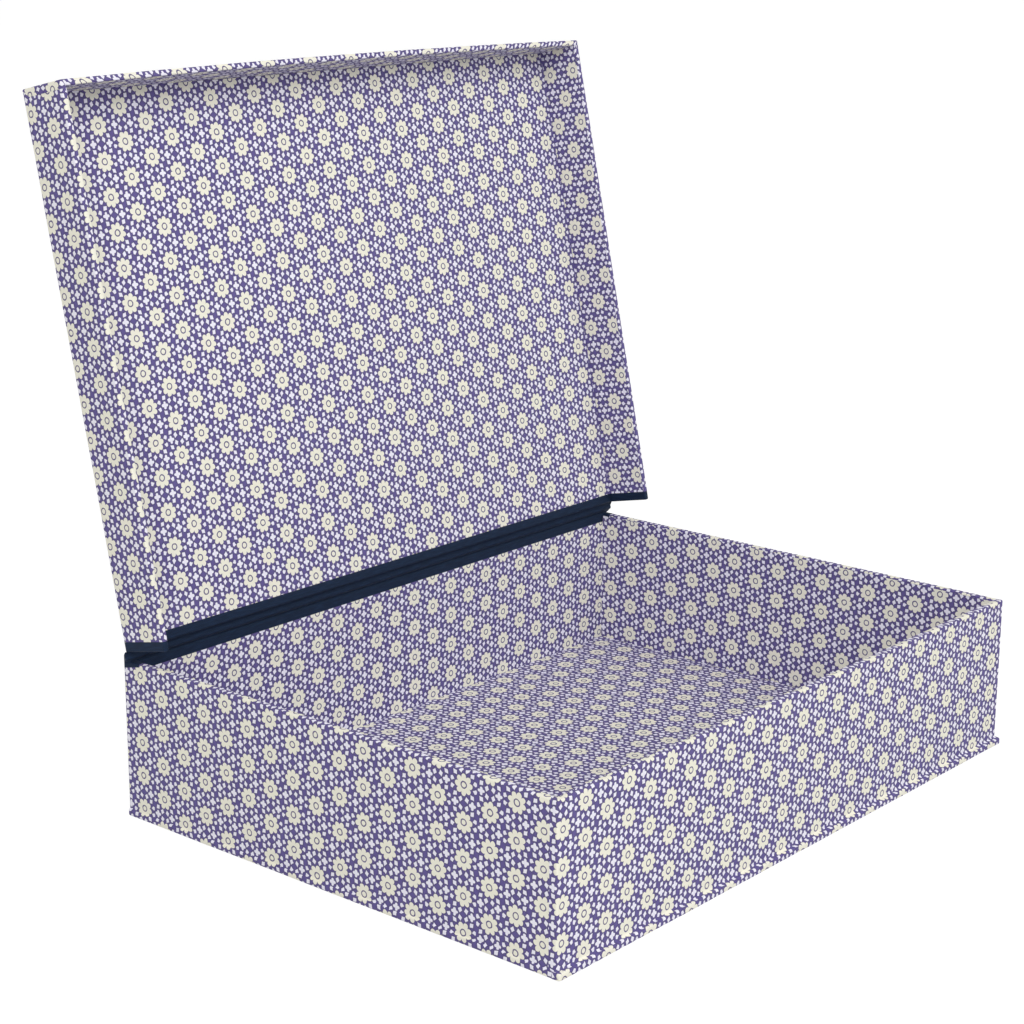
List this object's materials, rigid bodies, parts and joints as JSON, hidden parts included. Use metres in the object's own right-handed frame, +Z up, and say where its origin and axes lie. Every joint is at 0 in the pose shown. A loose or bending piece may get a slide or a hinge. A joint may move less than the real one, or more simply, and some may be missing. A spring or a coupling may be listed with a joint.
{
  "type": "box file",
  "caption": "Rigid card box for papers with an open tray, a cloth-hinged lid with lips on the front and sides, and printed paper covering.",
  "frame": {"origin": "on the underside, midway between the tray's front and back faces and between its sides", "axes": "+X along the hinge, +Y from the front wall to the hinge, +Z up"},
  "size_m": [0.342, 0.297, 0.3236],
  "materials": {
    "greyboard": "dense grey card, matt",
    "printed_paper": "uncoated paper printed with a violet ground and small pale motifs",
    "book_cloth": "navy book cloth, fine plain weave"
  },
  "bodies": {
    "tray": {"base_board": "greyboard", "spine_board": "greyboard", "front_wall": "greyboard", "back_wall": "greyboard", "left_wall": "greyboard", "right_wall": "greyboard", "base_paper": "printed_paper", "front_cover_paper": "printed_paper", "left_cover_paper": "printed_paper", "right_cover_paper": "printed_paper", "floor_lining": "printed_paper", "front_lining": "printed_paper", "back_lining": "printed_paper", "left_lining": "printed_paper", "right_lining": "printed_paper", "outer_hinge_cloth": "book_cloth", "inner_hinge_cloth": "book_cloth", "hinge_joint_cloth": "book_cloth"},
    "lid": {"lid_board": "greyboard", "lid_front_lip": "greyboard", "lid_left_lip": "greyboard", "lid_right_lip": "greyboard", "lid_cover_paper": "printed_paper", "lid_lining": "printed_paper", "lid_front_lip_lining": "printed_paper", "lid_left_lip_lining": "printed_paper", "lid_right_lip_lining": "printed_paper", "lid_hinge_cloth": "book_cloth", "left_lip_end_cloth": "book_cloth", "right_lip_end_cloth": "book_cloth"}
  },
  "joints": [
    {"name": "lid_hinge", "type": "hinge", "parent": "tray", "child": "lid", "pos_m": [0, 0.1192, 0.0772], "axis": [1, 0, 0], "range_deg": [0, 102.5], "deforming": ["hinge_joint_cloth"]}
  ]
}
